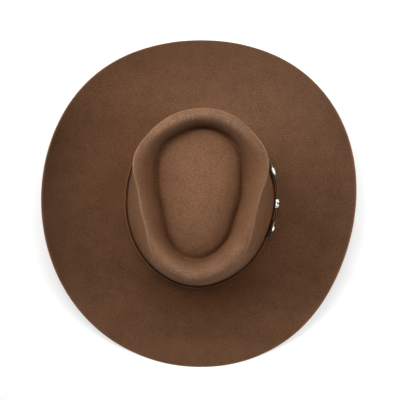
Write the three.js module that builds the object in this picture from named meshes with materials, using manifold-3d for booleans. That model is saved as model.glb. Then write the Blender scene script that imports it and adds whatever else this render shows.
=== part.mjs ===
// A felt hat with a wide rolled brim, a crown with a round dent in its top, and a strap with a
// three-piece silver buckle set. Millimetres, +Z up, the wearer faces -Y, the buckle is at +X.
import * as THREE from "three";
import Module from "manifold-3d";

// Sizes of the felt
const crown_width = 172.4;
const crown_length = 202;
const crown_height = 105;
const crown_turn = -4;
const crown_draw = 0.99;
const dent_depth = 28;
const dome_drop = 13;
const full_shoulder = 0.78;
const ridge_shoulder = 1;
const bend_radius = 3;
const brim_width = 362.6;
const brim_length = 388;
const brim_forward = 4.8;
const brim_aside = 2.2;
const break_height = 25;
const break_arch = 2;
const side_height = 42;
const edge_curl = 3;
const table_ease = 1.5;
const felt_thickness = 2.2;
const felt_columns = 72;

// Sizes of the strap round the crown
const fit_gap = 0.3;
const strap_height = 12;
const strap_thickness = 1.2;
const strap_step = 5;
const buckle_step = 1.5;
const bend_ease = 1;

// Sizes of the keeper, the buckle's frame and its tongue
const relief = 0.6;
const keeper_bearing = 87;
const keeper_length = 9.5;
const keeper_back = 0.4;
const keeper_metal = 0.8;
const keeper_lobe = 0.5;
const buckle_middle = 29.5;
const buckle_length = 24;
const frame_metal = 1.5;
const frame_far = 6.5;
const frame_rail = 1.9;
const heel_bar = 1;
const tongue_width = 2.4;
const tongue_metal = 1;

// Sizes of the tip
const tip_start = 25;
const tip_length = 27;
const tip_metal = 0.7;
const tip_back = 0.3;
const tip_lip = 0.3;
const flower_size = 4;

// Shares of the pieces' own sizes
const outline_power = 0.6;
const window_power = 0.3;
const tongue_reach = 0.25;
const tongue_taper = 0.7;
const tongue_rise = 0.5;
const tip_straight = 0.6;
const tip_power = 2.4;
const tip_filled = 0.8;
const tip_last = 0.995;
const flower_place = 0.45;
const flower_rise = 3;
const frame_scrolls = 12;
const rail_end = 0.1;
const heel_start = 0.85;

// One row for each twenty degrees, once round from the front over the wearer's left. The crown's
// foot is a share of an oval's reach, the crease round the domed top and the crown's shoulder are
// shares of the foot's reach, height is a share of the crown's, depth of the dent's. Ridge says how
// far the top is pinched into a crisp shoulder, lift how far the brim rolls up, and edge is a share
// of the oval of the brim's box.
const HAT_COLUMNS = ["foot", "crease", "shoulder", "height", "depth", "ridge", "lift", "edge"];
const HAT_ROWS = [
  [1, 0.665, 0.9, 1, 0.98, 0, 0, 1],
  [0.985, 0.623, 0.866, 0.998, 0.99, 0.1, 0.1, 1.01],
  [0.99, 0.559, 0.815, 0.992, 1, 0.35, 0.38, 1.006],
  [0.985, 0.505, 0.747, 0.982, 1, 0.8, 0.72, 0.987],
  [0.992, 0.512, 0.722, 0.972, 0.98, 1, 0.95, 0.988],
  [0.99, 0.544, 0.802, 0.965, 0.96, 1, 0.97, 1.012],
  [0.965, 0.625, 0.99, 0.962, 0.94, 0.8, 0.78, 1.04],
  [0.975, 0.741, 1.007, 0.962, 0.9, 0.3, 0.42, 1.047],
  [0.99, 0.775, 1.008, 0.964, 0.86, 0, 0.13, 1.022],
  [1, 0.783, 0.995, 0.965, 0.84, 0, 0.02, 1],
  [1, 0.773, 0.997, 0.964, 0.86, 0, 0.16, 1.013],
  [1, 0.767, 0.99, 0.962, 0.9, 0.3, 0.52, 1.027],
  [0.995, 0.654, 0.967, 0.962, 0.94, 0.8, 0.86, 1.017],
  [0.99, 0.582, 0.819, 0.965, 0.96, 1, 0.98, 1.004],
  [0.995, 0.528, 0.76, 0.972, 0.98, 1, 0.95, 0.998],
  [1, 0.543, 0.752, 0.982, 1, 0.8, 0.72, 1.002],
  [1, 0.61, 0.85, 0.992, 1, 0.3, 0.38, 1.007],
  [1, 0.666, 0.892, 0.998, 0.99, 0.05, 0.1, 1.004],
];

// Rings of the domed top out to the crease: share of the crease's reach, and of the dome's drop
const DOME_ROWS = [
  { across: 0.35, sunk: 0.08 },
  { across: 0.6, sunk: 0.24 },
  { across: 0.8, sunk: 0.48 },
  { across: 0.92, sunk: 0.73 },
];

// Rings over the roll round the top: share of the way out from the crease to the shoulder, and
// height above the crease where the roll is full and where it rises to a ridge
const ROLL_ROWS = [
  { across: 0.1, full: 0.32, pinched: 0.13 },
  { across: 0.25, full: 0.67, pinched: 0.34 },
  { across: 0.47, full: 0.95, pinched: 0.64 },
  { across: 0.68, full: 1, pinched: 0.87 },
  { across: 0.88, full: 0.92, pinched: 0.99 },
];

// Rings down the wall where it is full and where it is pinched: share of the way out from the
// shoulder to the foot, and height as a share of the shoulder's
const WALL_ROWS = [
  { full: 0.27, fullHeight: 0.875, pinched: 0.25, pinchedHeight: 0.8 },
  { full: 0.44, fullHeight: 0.75, pinched: 0.52, pinchedHeight: 0.56 },
  { full: 0.56, fullHeight: 0.53, pinched: 0.8, pinchedHeight: 0.33 },
];

// Rings of the brim outwards: place across it, the height left where it falls to the table, the
// height gained where it rolls up, and the share of the curl at its edge
const BRIM_ROWS = [
  { across: 0.22, fall: 0.66, rise: 0.01, curl: 0 },
  { across: 0.48, fall: 0.32, rise: 0.1, curl: 0 },
  { across: 0.74, fall: -0.02, rise: 0.36, curl: 0 },
  { across: 0.9, fall: -0.11, rise: 0.72, curl: 0 },
  { across: 1, fall: -0.14, rise: 1, curl: 1 },
];

// Turns of the bend between wall and brim, in degrees
const BEND_TURNS = [0, 45, 90];

// The strap stands clear of the bend at the crown's foot by the room that the keeper needs
const strap_seat = bend_radius + keeper_metal + fit_gap;

const radians = THREE.MathUtils.degToRad;
const mix = THREE.MathUtils.lerp;
const smooth = THREE.MathUtils.smoothstep;

// A smooth closed curve through values at equal steps of one turn
const spline_sweeps = 40;

function closedSpline(values) {
  const count = values.length;
  const wrap = (i) => (i + count) % count;
  const bend = new Array(count).fill(0);
  for (let sweep = 0; sweep < spline_sweeps; sweep += 1) {
    for (let i = 0; i < count; i += 1) {
      const pull = 6 * (values[wrap(i - 1)] - 2 * values[i] + values[wrap(i + 1)]);
      bend[i] = (pull - bend[wrap(i - 1)] - bend[wrap(i + 1)]) / 4;
    }
  }
  return (bearing) => {
    const place = THREE.MathUtils.euclideanModulo(bearing / (2 * Math.PI), 1) * count;
    const i = Math.floor(place) % count;
    const far = place - Math.floor(place);
    const near = 1 - far;
    const j = wrap(i + 1);
    const bent = (near ** 3 - near) * bend[i] + (far ** 3 - far) * bend[j];
    return near * values[i] + far * values[j] + bent / 6;
  };
}

// A column of the hat's rows as a function of bearing
function hatColumn(name) {
  const column = HAT_COLUMNS.indexOf(name);
  return closedSpline(HAT_ROWS.map((row) => row[column]));
}

const footShare = hatColumn("foot");
const creaseShare = hatColumn("crease");
const shoulderShare = hatColumn("shoulder");
const heightShare = hatColumn("height");
const depthShare = hatColumn("depth");
const ridgeShare = hatColumn("ridge");
const liftShare = hatColumn("lift");
const edgeShare = hatColumn("edge");

// Reach of an oval from its middle at a bearing from the front
function ovalReach(bearing, width, length) {
  return 1 / Math.hypot(Math.sin(bearing) / (width / 2), Math.cos(bearing) / (length / 2));
}

// A point at a bearing and reach from the crown's middle, which is the origin while it is built
function crownPoint(bearing, reach, height) {
  return new THREE.Vector3(reach * Math.sin(bearing), -reach * Math.cos(bearing), height);
}

// Height of the top of the felt where the crown meets the brim
function breakHeight(bearing) {
  return break_height + break_arch * liftShare(bearing);
}

// Reach of the crown's wall at its foot, where the strap lies: nearly an oval, a little turned
function footReach(bearing) {
  const oval = ovalReach(bearing - radians(crown_turn), crown_width, crown_length);
  return oval * footShare(bearing);
}

// Keeps the brim on the table: what would sink below the felt's own thickness lies flat, with a
// soft start
function restOnTable(height) {
  const clear = height - felt_thickness;
  if (clear >= table_ease) {
    return height;
  }
  const eased = Math.max(0, clear + table_ease);
  return felt_thickness + (eased * eased) / (4 * table_ease);
}

// The felt's outer surface at one bearing: a point for each ring, from the middle of the dome
// over the crease, the roll and the shoulder, and down the wall to the edge of the brim
function feltProfile(bearing) {
  const foot = footReach(bearing);
  const base = breakHeight(bearing);
  const top = base + crown_height * heightShare(bearing);
  const crease = top - dent_depth * depthShare(bearing);
  const middle = break_height + crown_height - dome_drop;
  const creaseReach = foot * creaseShare(bearing);
  const shoulderReach = foot * shoulderShare(bearing);
  const ridge = ridgeShare(bearing);
  const shoulder = mix(crease, top, mix(full_shoulder, ridge_shoulder, ridge));
  const points = [crownPoint(bearing, 0, middle)];
  for (const row of DOME_ROWS) {
    points.push(crownPoint(bearing, creaseReach * row.across, mix(middle, crease, row.sunk)));
  }
  points.push(crownPoint(bearing, creaseReach, crease));
  for (const row of ROLL_ROWS) {
    const reach = mix(creaseReach, shoulderReach, row.across);
    const risen = mix(row.full, row.pinched, ridge);
    points.push(crownPoint(bearing, reach, mix(crease, top, risen)));
  }
  points.push(crownPoint(bearing, shoulderReach, shoulder));
  for (const row of WALL_ROWS) {
    const reach = mix(shoulderReach, foot, mix(row.full, row.pinched, ridge));
    const height = mix(row.fullHeight, row.pinchedHeight, ridge);
    points.push(crownPoint(bearing, reach, mix(base, shoulder, height)));
  }
  const strapTop = base + strap_seat + strap_height + fit_gap;
  points.push(crownPoint(bearing, foot * crown_draw, strapTop));
  for (const turn of BEND_TURNS) {
    const out = 1 - Math.cos(radians(turn));
    const down = 1 - Math.sin(radians(turn));
    points.push(crownPoint(bearing, foot + bend_radius * out, base + bend_radius * down));
  }
  const start = points[points.length - 1];
  const edgeReach = ovalReach(bearing, brim_width, brim_length) * edgeShare(bearing);
  const edgeX = edgeReach * Math.sin(bearing) - brim_aside;
  const edgeY = -edgeReach * Math.cos(bearing) - brim_forward;
  for (const row of BRIM_ROWS) {
    const fallen = break_height * row.fall;
    const risen = mix(base, side_height, row.rise) + edge_curl * row.curl;
    const height = mix(fallen, risen, liftShare(bearing));
    const x = mix(start.x, edgeX, row.across);
    const y = mix(start.y, edgeY, row.across);
    points.push(new THREE.Vector3(x, y, height));
  }
  return points;
}

// A closed solid from loops of points, one loop after another. It ends in a fan at each end, or
// joins its last loop to its first.
function solidFromLoops(loops, joined = false, ends = []) {
  const around = loops[0].length;
  const points = loops.flat();
  const faces = [];
  const bands = joined ? loops.length : loops.length - 1;
  for (let i = 0; i < bands; i += 1) {
    const next = (i + 1) % loops.length;
    for (let j = 0; j < around; j += 1) {
      const beside = (j + 1) % around;
      const a = i * around + j;
      const b = i * around + beside;
      const c = next * around + beside;
      const d = next * around + j;
      faces.push([a, b, c], [a, c, d]);
    }
  }
  if (!joined) {
    for (const [loop, turned] of [[0, true], [loops.length - 1, false]]) {
      const ring = loops[loop];
      const sum = ring.reduce((total, p) => total.add(p), new THREE.Vector3());
      const middle = ends[turned ? 0 : 1] ?? sum.divideScalar(around);
      points.push(middle);
      const hub = points.length - 1;
      for (let j = 0; j < around; j += 1) {
        const a = loop * around + j;
        const b = loop * around + ((j + 1) % around);
        faces.push(turned ? [hub, b, a] : [hub, a, b]);
      }
    }
  }
  let volume = 0;
  for (const [a, b, c] of faces) {
    volume += points[a].dot(new THREE.Vector3().crossVectors(points[b], points[c]));
  }
  if (volume < 0) {
    faces.forEach((face) => face.reverse());
  }
  const geometry = new THREE.BufferGeometry().setFromPoints(points);
  geometry.setIndex(faces.flat());
  return geometry;
}

// The felt: the outer surface out to the edge, and back on the inner one. The rings are those of
// the profile, with one more halfway in the two widest gaps, the dome's first and the brim's.
function feltGeometry() {
  const spans = feltProfile(0).length - 1;
  const brimSpan = spans - BRIM_ROWS.length;
  const places = [];
  for (let span = 0; span < spans; span += 1) {
    if (span === 0 || span === brimSpan) {
      places.push(span + 0.5);
    }
    places.push(span + 1);
  }
  const outer = places.map(() => []);
  for (let column = 0; column < felt_columns; column += 1) {
    const bearing = (column / felt_columns) * 2 * Math.PI;
    const curve = new THREE.CatmullRomCurve3(feltProfile(bearing), false, "centripetal");
    places.forEach((place, ring) => {
      const point = curve.getPoint(place / spans);
      point.z = restOnTable(point.z);
      outer[ring].push(point);
    });
  }
  const top = feltProfile(0)[0];
  const last = outer.length - 1;
  const inner = outer.map((ring, i) => ring.map((point, j) => {
    const inwards = i === 0 ? top : outer[i - 1][j];
    const outwards = outer[Math.min(i + 1, last)][j];
    const beside = ring[(j + 1) % felt_columns];
    const before = ring[(j + felt_columns - 1) % felt_columns];
    const along = new THREE.Vector3().subVectors(outwards, inwards);
    const across = new THREE.Vector3().subVectors(beside, before);
    const normal = along.cross(across).normalize();
    return point.clone().addScaledVector(normal, -felt_thickness);
  }));
  const under = top.clone().setZ(top.z - felt_thickness);
  return solidFromLoops([...outer, ...inner.reverse()], false, [top, under]);
}

// The line that the strap follows, at the foot of the wall: bearing against length along it,
// from the keeper round by the back
const line_steps = 720;
const line = [];
for (let i = 0; i <= line_steps; i += 1) {
  const bearing = radians(keeper_bearing) + (i / line_steps) * 2 * Math.PI;
  const point = crownPoint(bearing, footReach(bearing), 0);
  const length = i === 0 ? 0 : line[i - 1].length + point.distanceTo(line[i - 1].point);
  line.push({ bearing, point, length });
}
const line_length = line[line_steps].length;

function lineBearing(along) {
  const turns = Math.floor(along / line_length);
  const rest = along - turns * line_length;
  let i = 1;
  while (i < line_steps && line[i].length < rest) {
    i += 1;
  }
  const share = (rest - line[i - 1].length) / (line[i].length - line[i - 1].length);
  return mix(line[i - 1].bearing, line[i].bearing, share) + turns * 2 * Math.PI;
}

// A point beside the strap's line: along it, up from the strap's middle, and out from the wall
const heading_step = radians(0.5);

function onStrap(along, up, out) {
  const bearing = lineBearing(along);
  const point = crownPoint(bearing, footReach(bearing), 0);
  const ahead = crownPoint(bearing + heading_step, footReach(bearing + heading_step), 0);
  const behind = crownPoint(bearing - heading_step, footReach(bearing - heading_step), 0);
  const forward = ahead.sub(behind).normalize();
  const middle = breakHeight(bearing) + strap_seat + strap_height / 2;
  return new THREE.Vector3(
    point.x + forward.y * out,
    point.y - forward.x * out,
    middle + up,
  );
}

// Distances out from the wall: the strap's first layer, what lies on it, and what lies on that
const first_layer = fit_gap + keeper_back + fit_gap;
const lapped_layer = first_layer + strap_thickness + fit_gap;
const tip_layer = lapped_layer + tip_back + fit_gap;
const over_bar = lapped_layer + heel_bar + fit_gap;
const frame_top = lapped_layer + frame_metal;
const half_strap = strap_height / 2;

// Places along the strap from the keeper's middle, negative towards the front
const half_keeper = keeper_length / 2;
const buckle_far = -buckle_middle - buckle_length / 2;
const buckle_heel = -buckle_middle + buckle_length / 2;
const window_far = buckle_far + frame_far;
const window_heel = buckle_heel - frame_rail;
const strap_end = tip_start + tip_length * tip_filled;

// How far out the strap's inner face lies, from its butt end at the buckle to its end in the tip
function strapOut(along) {
  const climb = smooth(along, window_far + bend_ease, window_heel - bend_ease);
  const settle = smooth(along, buckle_heel + bend_ease, -half_keeper - bend_ease);
  const lift = smooth(along, half_keeper + bend_ease, tip_start - bend_ease);
  const lapped = mix(mix(first_layer, over_bar, climb), lapped_layer, settle);
  return mix(lapped, tip_layer, lift);
}

// Corners of the tongue's section: side as a share of its half width, and rise of its metal
const TONGUE_SECTION = [
  { side: -1, rise: 0 },
  { side: 1, rise: 0 },
  { side: 1, rise: 0.6 },
  { side: 0.5, rise: 1 },
  { side: -0.5, rise: 1 },
  { side: -1, rise: 0.6 },
];
const tongue_steps = 10;

// A tongue-shaped bar from the heel bar through the strap and over the frame's far side
function tongueGeometry(extra) {
  const root = window_heel - fit_gap + extra;
  const end = buckle_far + frame_far * tongue_reach - extra;
  const lying = frame_top + relief + fit_gap;
  const loops = [];
  for (let i = 0; i <= tongue_steps; i += 1) {
    const share = i / tongue_steps;
    const low = mix(lapped_layer, lying, smooth(share, 0, tongue_rise)) - extra;
    const half = (tongue_width / 2) * mix(1, tongue_taper, share) + extra;
    loops.push(TONGUE_SECTION.map(({ side, rise }) => onStrap(
      mix(root, end, share),
      side * half,
      low + rise * (tongue_metal + 2 * extra),
    )));
  }
  return solidFromLoops(loops);
}

// The strap: once round the crown, through the buckle, over itself and into the tip, with the
// slot that the tongue goes through
function strapGeometry() {
  const stations = [];
  const end = line_length + strap_end;
  let along = window_heel;
  while (along < end - buckle_step) {
    stations.push(along);
    const nearBuckle = along > line_length + buckle_far - strap_step;
    along += nearBuckle ? buckle_step : strap_step;
  }
  stations.push(end);
  const loops = stations.map((place) => {
    const low = place < line_length / 2 ? first_layer : strapOut(place - line_length);
    const high = low + strap_thickness;
    return [
      onStrap(place, -half_strap, low),
      onStrap(place, half_strap, low),
      onStrap(place, half_strap, high),
      onStrap(place, -half_strap, high),
    ];
  });
  return cutAway(solidFromLoops(loops), tongueGeometry(fit_gap));
}

// Corners of the frame's section: place from its window to its outline, height as a share of the
// metal, and share of the relief
const FRAME_SECTION = [
  { across: 0, metal: 0, raised: 0 },
  { across: 1, metal: 0, raised: 0 },
  { across: 1, metal: 0.6, raised: 0 },
  { across: 0.75, metal: 1, raised: 0.4 },
  { across: 0.4, metal: 1, raised: 1 },
  { across: 0, metal: 0.8, raised: 0 },
];
const frame_steps = 36;

// The buckle's frame: a ring with a broad far side, two rails and a thin heel bar
function frameGeometry() {
  const loops = [];
  const squared = (value, power) => Math.sign(value) * Math.abs(value) ** power;
  const windowMiddle = (window_far + window_heel) / 2;
  const windowHalf = (window_heel - window_far) / 2;
  const windowUp = half_strap + fit_gap * 2;
  for (let i = 0; i < frame_steps; i += 1) {
    const angle = (i / frame_steps) * 2 * Math.PI;
    const ahead = squared(Math.cos(angle), outline_power) * (buckle_length / 2);
    const outAlong = -buckle_middle + ahead;
    const outUp = squared(Math.sin(angle), outline_power) * (windowUp + frame_rail);
    const inShare = squared(Math.cos(angle), window_power);
    const inAlong = windowMiddle + inShare * windowHalf;
    const inUp = squared(Math.sin(angle), window_power) * windowUp;
    const heel = smooth(inShare, rail_end, heel_start);
    const thick = mix(frame_metal, heel_bar, heel);
    const scroll = relief * (1 - heel) * (0.5 + 0.5 * Math.cos(angle * frame_scrolls));
    loops.push(FRAME_SECTION.map(({ across, metal, raised }) => onStrap(
      mix(inAlong, outAlong, across),
      mix(inUp, outUp, across),
      lapped_layer + thick * metal + scroll * raised,
    )));
  }
  return solidFromLoops(loops, true);
}

// The keeper's path round both layers, from its back: place as shares of its inside, in or out,
// and the way that its metal grows there
const KEEPER_PATH = [
  { up: -1, out: 0, toUp: -1, toOut: 0 },
  { up: -1, out: 0, toUp: 0, toOut: -1 },
  { up: 1, out: 0, toUp: 0, toOut: -1 },
  { up: 1, out: 0, toUp: 1, toOut: 0 },
  { up: 1, out: 1, toUp: 1, toOut: 0 },
  { up: 1, out: 1, toUp: 0.7, toOut: 0.7 },
  { up: 0.8, out: 1, toUp: 0.2, toOut: 1 },
  { up: 0.4, out: 1, toUp: 0, toOut: 1.2 },
  { up: 0, out: 1, toUp: 0, toOut: 1.3 },
  { up: -0.4, out: 1, toUp: 0, toOut: 1.2 },
  { up: -0.8, out: 1, toUp: -0.2, toOut: 1 },
  { up: -1, out: 1, toUp: -0.7, toOut: 0.7 },
  { up: -1, out: 1, toUp: -1, toOut: 0 },
];

// The keeper's section from one side to the other: share of its half length, of its metal, and
// of its lobes
const KEEPER_SECTION = [
  { along: -1, metal: 0.55, lobe: 0 },
  { along: -0.8, metal: 1, lobe: 0.6 },
  { along: -0.5, metal: 1, lobe: 1 },
  { along: -0.15, metal: 1, lobe: 0.45 },
  { along: 0, metal: 1, lobe: 0 },
  { along: 0.15, metal: 1, lobe: 0.45 },
  { along: 0.5, metal: 1, lobe: 1 },
  { along: 0.8, metal: 1, lobe: 0.6 },
  { along: 1, metal: 0.55, lobe: 0 },
];

// The keeper: a closed loop round both layers, with two raised lobes across it
function keeperGeometry() {
  const low = first_layer - fit_gap;
  const high = lapped_layer + strap_thickness + fit_gap;
  const side = half_strap + fit_gap;
  const loops = KEEPER_PATH.map((spot) => {
    const back = spot.toOut < 0;
    const up = spot.up * side;
    const out = mix(low, high, spot.out);
    const outer = KEEPER_SECTION.map(({ along, metal, lobe }) => {
      const front = keeper_metal * metal + keeper_lobe * lobe;
      const grown = back ? keeper_back : front;
      return onStrap(along * half_keeper, up + spot.toUp * grown, out + spot.toOut * grown);
    });
    const inner = [1, -1].map((share) => onStrap(share * half_keeper, up, out));
    return [...outer, ...inner];
  });
  return solidFromLoops(loops, true);
}

// The outline of the tip, seen from beside the hat: straight, then drawn in to a round end
function tipHalf(share) {
  const full = half_strap + fit_gap + tip_metal;
  const drawn = Math.max(0, (share - tip_straight) / (1 - tip_straight)) ** tip_power;
  return full * Math.sqrt(Math.max(0, 1 - drawn));
}

// Places across the tip's face, as shares of its half width, and the share of its rim there
const TIP_ROWS = [
  { across: -1, rim: 0 },
  { across: -0.86, rim: 0.6 },
  { across: -0.6, rim: 0 },
  { across: -0.3, rim: 0 },
  { across: 0, rim: 0 },
  { across: 0.3, rim: 0 },
  { across: 0.6, rim: 0 },
  { across: 0.86, rim: 0.6 },
  { across: 1, rim: 0 },
];
const tip_steps = 20;
const pocket_steps = 8;

// The tip: a cap over the end of the strap, with a raised flower and a raised rim
function tipGeometry() {
  const low = tip_layer - fit_gap - tip_back;
  const face = tip_layer + strap_thickness + fit_gap + tip_metal;
  const loops = [];
  for (let i = 0; i <= tip_steps; i += 1) {
    const share = Math.min(i / tip_steps, tip_last);
    const along = tip_start + share * tip_length;
    const half = tipHalf(share);
    const outer = TIP_ROWS.map(({ across, rim }) => {
      const away = Math.hypot((share - flower_place) * tip_length, across * half);
      const flower = flower_rise * Math.exp(-((away / flower_size) ** 2));
      const edge = Math.abs(across) === 1 ? tip_lip : 0;
      return onStrap(along, across * half, face - edge + relief * (flower + rim));
    });
    loops.push([onStrap(along, half, low), onStrap(along, -half, low), ...outer]);
  }
  const pocket = [];
  for (let i = 0; i <= pocket_steps; i += 1) {
    const along = mix(tip_start - bend_ease, strap_end + fit_gap, i / pocket_steps);
    const up = half_strap + fit_gap;
    pocket.push([
      onStrap(along, -up, tip_layer - fit_gap),
      onStrap(along, up, tip_layer - fit_gap),
      onStrap(along, up, tip_layer + strap_thickness + fit_gap),
      onStrap(along, -up, tip_layer + strap_thickness + fit_gap),
    ]);
  }
  return cutAway(solidFromLoops(loops), solidFromLoops(pocket));
}

// One solid less another
const wasm = await Module();
wasm.setup();

function toSolid(geometry) {
  return new wasm.Manifold(new wasm.Mesh({
    numProp: 3,
    vertProperties: geometry.getAttribute("position").array,
    triVerts: new Uint32Array(geometry.getIndex().array),
  }));
}

function cutAway(geometry, cutter) {
  const mesh = toSolid(geometry).subtract(toSolid(cutter)).getMesh();
  const left = new THREE.BufferGeometry();
  left.setAttribute("position", new THREE.BufferAttribute(mesh.vertProperties, 3));
  left.setIndex(new THREE.BufferAttribute(mesh.triVerts, 1));
  return left;
}

const felt = { color: 0x7a583f, roughness: 0.95, metalness: 0 };
const bandFelt = { color: 0x6f4f38, roughness: 0.95, metalness: 0 };
const silver = { color: 0xc9c4ba, roughness: 0.35, metalness: 1 };

const hat = new THREE.Group();

function addPiece(name, geometry, finish) {
  geometry.computeVertexNormals();
  const mesh = new THREE.Mesh(geometry, new THREE.MeshStandardMaterial(finish));
  mesh.name = name;
  hat.add(mesh);
  return mesh;
}

const body = addPiece("felt_body", feltGeometry(), felt);
addPiece("hat_band", strapGeometry(), bandFelt);
addPiece("buckle_frame", frameGeometry(), silver);
addPiece("buckle_tongue", tongueGeometry(0), silver);
addPiece("keeper", keeperGeometry(), silver);
addPiece("strap_tip", tipGeometry(), silver);

// The origin is under the middle of the hat, on the table
const box = new THREE.Box3().setFromObject(body);
const centre = box.getCenter(new THREE.Vector3());
hat.position.set(-centre.x, -centre.y, 0);

export default hat;
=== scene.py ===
import math

import bpy
import numpy as np
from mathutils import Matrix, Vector


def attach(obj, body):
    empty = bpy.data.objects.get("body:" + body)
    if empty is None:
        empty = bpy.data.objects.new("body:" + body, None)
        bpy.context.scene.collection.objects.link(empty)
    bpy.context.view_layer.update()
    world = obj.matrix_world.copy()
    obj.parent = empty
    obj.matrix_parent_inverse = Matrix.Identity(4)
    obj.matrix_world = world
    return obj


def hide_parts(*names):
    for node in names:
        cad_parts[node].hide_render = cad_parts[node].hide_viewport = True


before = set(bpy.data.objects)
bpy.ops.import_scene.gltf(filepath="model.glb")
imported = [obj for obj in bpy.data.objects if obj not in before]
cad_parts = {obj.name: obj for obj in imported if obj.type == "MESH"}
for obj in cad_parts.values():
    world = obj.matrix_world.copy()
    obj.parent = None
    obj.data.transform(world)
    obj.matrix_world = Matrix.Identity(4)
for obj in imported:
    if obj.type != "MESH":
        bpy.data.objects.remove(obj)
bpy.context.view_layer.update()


# The studio: a plain pale floor and a white wall, soft lights all round the hat, the strongest
# behind it and to the wearer's right, and a camera that looks straight down, as the photo does.

CAMERA_HEIGHT = 1.6
CAMERA_ASIDE = 0.0014
CAMERA_BACK = 0.0042
CAMERA_LENS = 121.1
CAMERA_SENSOR = 36

scene = bpy.context.scene
scene.view_settings.view_transform = "Standard"
scene.view_settings.look = "High Contrast"


def placed(name, data):
    """An object in the scene."""
    made = bpy.data.objects.new(name, data)
    scene.collection.objects.link(made)
    return made


camera_data = bpy.data.cameras.new("camera")
camera_data.lens = CAMERA_LENS
camera_data.sensor_width = CAMERA_SENSOR
camera = placed("camera", camera_data)
camera.location = (CAMERA_ASIDE, CAMERA_BACK, CAMERA_HEIGHT)
scene.camera = camera


class Value:
    """A node's socket that works in a Python expression: each operator adds a Math node."""

    def __init__(self, tree, socket):
        self.tree = tree
        self.socket = socket

    def maths(self, operation, *others):
        sockets = dict(enumerate((self, *others)))
        return self.tree.node("ShaderNodeMath", {"operation": operation}, sockets)["Value"]

    def __add__(self, other):
        return self.maths("ADD", other)

    def __sub__(self, other):
        return self.maths("SUBTRACT", other)

    def __mul__(self, other):
        return self.maths("MULTIPLY", other)

    __radd__ = __add__
    __rmul__ = __mul__

    def between(self, low, high):
        """Nought below low, one above high, and smooth between them."""
        settings = {"interpolation_type": "SMOOTHSTEP"}
        sockets = {"Value": self, "From Min": low, "From Max": high}
        return self.tree.node("ShaderNodeMapRange", settings, sockets)["Result"]


class Tree:
    """A tree of nodes under construction."""

    def __init__(self, tree):
        self.tree = tree

    def node(self, kind, settings=None, sockets=None):
        """Adds a node: its settings are set first, then the values or links of its sockets.

        Its outputs go by number, or by name, where the first of a name counts.
        """
        made = self.tree.nodes.new(kind)
        for name, setting in (settings or {}).items():
            setattr(made, name, setting)
        for key, value in (sockets or {}).items():
            if isinstance(value, Value):
                self.tree.links.new(value.socket, made.inputs[key])
            else:
                made.inputs[key].default_value = value
        outputs = {socket.name: Value(self, socket) for socket in reversed(made.outputs)}
        outputs.update({i: Value(self, socket) for i, socket in enumerate(made.outputs)})
        return outputs


class Paint(Tree):
    """A material under construction, made of shader nodes."""

    def __init__(self, name):
        self.material = bpy.data.materials.new(name)
        self.material.use_nodes = True
        super().__init__(self.material.node_tree)
        self.tree.nodes.clear()

    def place(self):
        return self.node("ShaderNodeTexCoord")["Object"]

    def noise(self, scale, detail, roughness):
        """A pattern of patches: how fine, how many finer ones in them, and how strong those are."""
        sockets = {"Vector": self.place(), "Scale": scale}
        sockets.update({"Detail": detail, "Roughness": roughness})
        return self.node("ShaderNodeTexNoise", None, sockets)["Fac"]

    def attribute(self, name):
        return self.node("ShaderNodeAttribute", {"attribute_name": name})["Fac"]

    def blend(self, first, second, factor):
        """A colour between two, each a colour or a socket."""
        settings = {"data_type": "RGBA", "clamp_factor": True}
        return self.node("ShaderNodeMix", settings, {0: factor, 6: first, 7: second})[2]

    def shade(self, colour, factor):
        """A colour made lighter or darker."""
        sockets = {"Vector": colour, "Scale": factor}
        return self.node("ShaderNodeVectorMath", {"operation": "SCALE"}, sockets)["Vector"]

    def bump(self, height, distance, strength):
        sockets = {"Height": height, "Distance": distance, "Strength": strength}
        return self.node("ShaderNodeBump", None, sockets)["Normal"]

    def finish(self, sockets):
        """Ends the material in a Principled shader."""
        shader = self.node("ShaderNodeBsdfPrincipled", None, sockets)["BSDF"]
        self.node("ShaderNodeOutputMaterial", None, {"Surface": shader})
        return self.material


FLOOR_HALF = 6.0
FLOOR_DARK = (0.45, 0.45, 0.45, 1)
FLOOR_LIGHT = (0.47, 0.47, 0.47, 1)
FLOOR_GRAIN = (40, 2, 0.5)
# The floor glows a little, and less near the hat, where its faint shadow lies
GLOW_NEAR = (0.33, 0.33, 0.33, 1)
GLOW_FAR = (0.7, 0.7, 0.7, 1)
GLOW_REACH = (0.3, 1)
# How bright the wall is: as it is seen, its share of that in glossy metal, and as it lights
WALL_SEEN = 0.97
WALL_GLOSS = 0.85
WALL_LIGHT = 0.03

floor_paint = Paint("pale_floor")
floor_colour = floor_paint.blend(FLOOR_DARK, FLOOR_LIGHT, floor_paint.noise(*FLOOR_GRAIN))
floor_far = floor_paint.node("ShaderNodeVectorMath", {"operation": "LENGTH"}, {
    0: floor_paint.place(),
})["Value"]
floor_glow = floor_paint.blend(GLOW_NEAR, GLOW_FAR, floor_far.between(*GLOW_REACH))
floor_material = floor_paint.finish({
    "Base Color": floor_colour,
    "Roughness": 0.9,
    "Emission Color": floor_glow,
    "Emission Strength": 1,
})

scene.world = bpy.data.worlds.new("pale_wall")
scene.world.use_nodes = True
wall = Tree(scene.world.node_tree)
wall.tree.nodes.clear()
ray = wall.node("ShaderNodeLightPath")
seen, glossy = ray["Is Camera Ray"], WALL_GLOSS * ray["Is Glossy Ray"]
wall_strength = WALL_SEEN * seen.maths("MAXIMUM", glossy) + WALL_LIGHT
wall_sockets = {"Color": (1, 1, 1, 1), "Strength": wall_strength}
wall_light = wall.node("ShaderNodeBackground", None, wall_sockets)["Background"]
wall.node("ShaderNodeOutputWorld", None, {"Surface": wall_light})

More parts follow.
